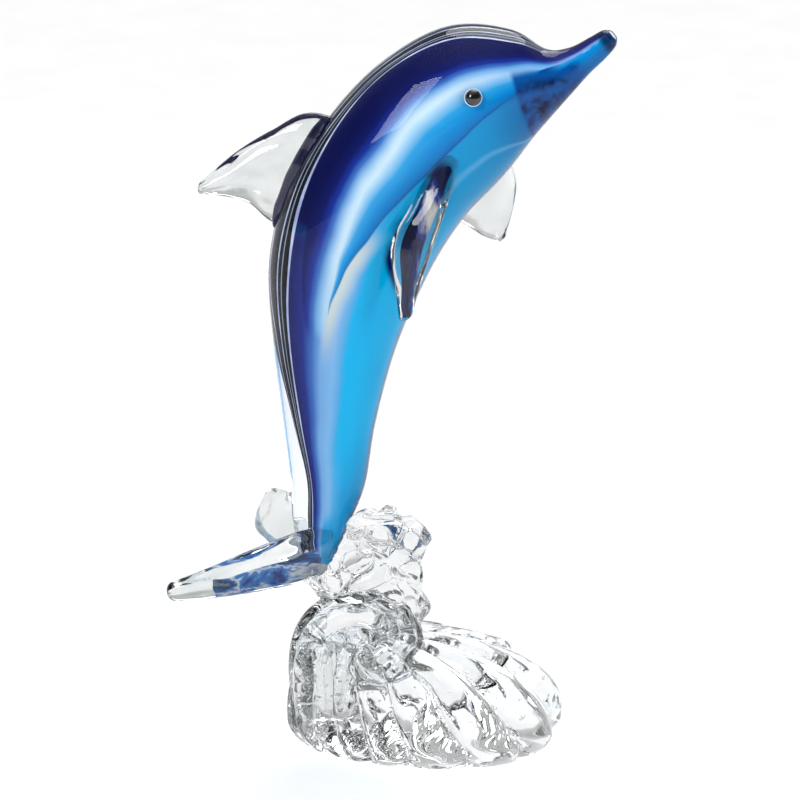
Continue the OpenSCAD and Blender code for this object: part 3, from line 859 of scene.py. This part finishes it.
def melted(points, faces, voxel, soften):
    """Points, normals and faces of the outer skin of meshes that run into each other."""
    rough = bpy.data.objects.new("rough", mesh_of("rough", points, faces))
    bpy.context.scene.collection.objects.link(rough)
    remesh = rough.modifiers.new("melt", "REMESH")
    remesh.mode, remesh.voxel_size = "VOXEL", voxel * MM
    smooth = rough.modifiers.new("soften", "SMOOTH")
    smooth.iterations, smooth.factor = soften, 0.5
    bpy.context.view_layer.update()
    made = bpy.data.meshes.new_from_object(rough.evaluated_get(bpy.context.evaluated_depsgraph_get()))
    bpy.data.objects.remove(rough)
    flat = np.zeros((2, len(made.vertices) * 3))
    made.vertices.foreach_get("co", flat[0])
    made.vertices.foreach_get("normal", flat[1])
    return flat[0].reshape(-1, 3) / MM, flat[1].reshape(-1, 3), [tuple(p.vertices) for p in made.polygons]


def curl_piece():
    points, faces = tube(rope_rings(CURL_LUMPS, 6, -110, 0.3))
    points, _, faces = melted(points, faces, 0.55, 3)
    piece("wave_curl_crystal", points, faces, crystal, ["wave_curl"], sharp=180)


FOLD_SIZE = 14                  # mm across a fold of the crest
CREASE_DEPTH, FOLD_TOP = 2.6, 0.4   # mm below and above the crest's own skin
CREST_SWELL = 0.9               # mm added to the lumps, since melting them together takes some off


def crest_piece():
    """A ribbed gather wound up and crumpled until its folds run into each other."""
    points, faces = tube(rope_rings([[c, r + CREST_SWELL] for c, r in CREST_LUMPS], 4, 320, 0.3))
    points, normals, faces = melted(points, faces, 0.6, 8)
    push = []
    for p in points:
        q = Vector(p) / FOLD_SIZE
        cells = noise.voronoi(q + noise.noise_vector(q * 0.8) * 0.5)[0]
        push.append(min(6 * (cells[1] - cells[0]) - CREASE_DEPTH, FOLD_TOP))
    points = points + normals * np.array(push)[:, None]
    piece("wave_crest_crystal", points, faces, crystal, ["wave_crest"], sharp=180)


body_pieces()
fin_pieces()
eye_pieces()
foot_piece()
curl_piece()
crest_piece()

# ---------------------------------------------------------------- studio

# Each lamp's name, place in metres, size in metres, power in watts and whether glass mirrors it
LAMPS = [("key", (-0.75, -1.1, 1.0), (0.5, 0.7), 9.0, True),
         ("fill", (1.0, -0.9, 0.6), (0.3, 0.8), 4.5, False)]
LAMPS_AIM = (0, 0, 0.12)
SUN_STRENGTH, SUN_SPREAD, SUN_TILT = 2.2, 50, (-38, 12)
SKY_STRENGTH = 1.1
CAMERA_LENS, CAMERA_RISE, CAMERA_AWAY, CAMERA_AIM = 600, 16, 4.535, (-0.0085, 0, 0.1213)


def placed(name, data):
    """A lamp or camera, put into the scene."""
    made = bpy.data.objects.new(name, data)
    bpy.context.scene.collection.objects.link(made)
    return made


def floor_paper():
    made, tree, shader = material("floor_paper")
    shade = ramp(tree, clouds(tree, 40, 2), [(0.3, "#f1f1f1"), (0.7, "#f4f4f4")])
    put(tree, shader.inputs["Base Color"], shade)
    shader.inputs["Roughness"].default_value = 0.8
    shader.inputs["Specular IOR Level"].default_value = 0.1
    return made


def sky():
    """Greys by height: bright behind the object, dark behind the camera, so the glass has edges to show."""
    world = bpy.data.worlds.new("studio")
    bpy.context.scene.world = world
    world.use_nodes = True
    tree = world.node_tree
    way = add(tree, "SeparateXYZ", add(tree, "TexCoord").outputs["Generated"])
    height = rescale(tree, way.outputs[2], -1, 1)
    behind = ramp(tree, height, [
        (0.0, 0.8), (0.48, 0.9), (0.53, 0.6), (0.6, 0.5), (0.7, 0.5), (0.82, 0.5), (0.92, 0.9), (1.0, 1.0)])
    front = ramp(tree, height, [
        (0.0, 0.3), (0.5, 0.25), (0.6, 0.12), (0.75, 0.08), (0.88, 0.2), (1.0, 0.8)])
    background = tree.nodes["Background"]
    put(tree, background.inputs["Color"], mixed(tree, fade(tree, way.outputs[1], 0.0, 0.5), front, behind))
    background.inputs["Strength"].default_value = SKY_STRENGTH


def studio():
    bpy.ops.mesh.primitive_plane_add(size=12)
    floor = bpy.context.object
    floor.name = "floor"
    floor.data.materials.append(floor_paper())
    sky()

    for name, place, size, power, mirrored in LAMPS:
        lamp = bpy.data.lights.new(name, "AREA")
        lamp.shape, lamp.size, lamp.size_y, lamp.energy = "RECTANGLE", size[0], size[1], power
        made = placed(name, lamp)
        made.location = place
        made.visible_glossy = mirrored
        made.rotation_euler = (Vector(LAMPS_AIM) - Vector(place)).to_track_quat("-Z", "Y").to_euler()

    sun = bpy.data.lights.new("overhead", "SUN")
    sun.energy, sun.angle = SUN_STRENGTH, math.radians(SUN_SPREAD)
    placed("overhead", sun).rotation_euler = (math.radians(SUN_TILT[0]), math.radians(SUN_TILT[1]), 0)

    camera = bpy.data.cameras.new("photo_camera")
    camera.lens, camera.sensor_width = CAMERA_LENS, 36
    made = placed("photo_camera", camera)
    rise, target = math.radians(CAMERA_RISE), Vector(CAMERA_AIM)
    made.location = target + Vector((0, -math.cos(rise), math.sin(rise))) * CAMERA_AWAY
    made.rotation_euler = (target - made.location).to_track_quat("-Z", "Y").to_euler()
    bpy.context.scene.camera = made
    bpy.context.scene.view_settings.view_transform = "Standard"


studio()
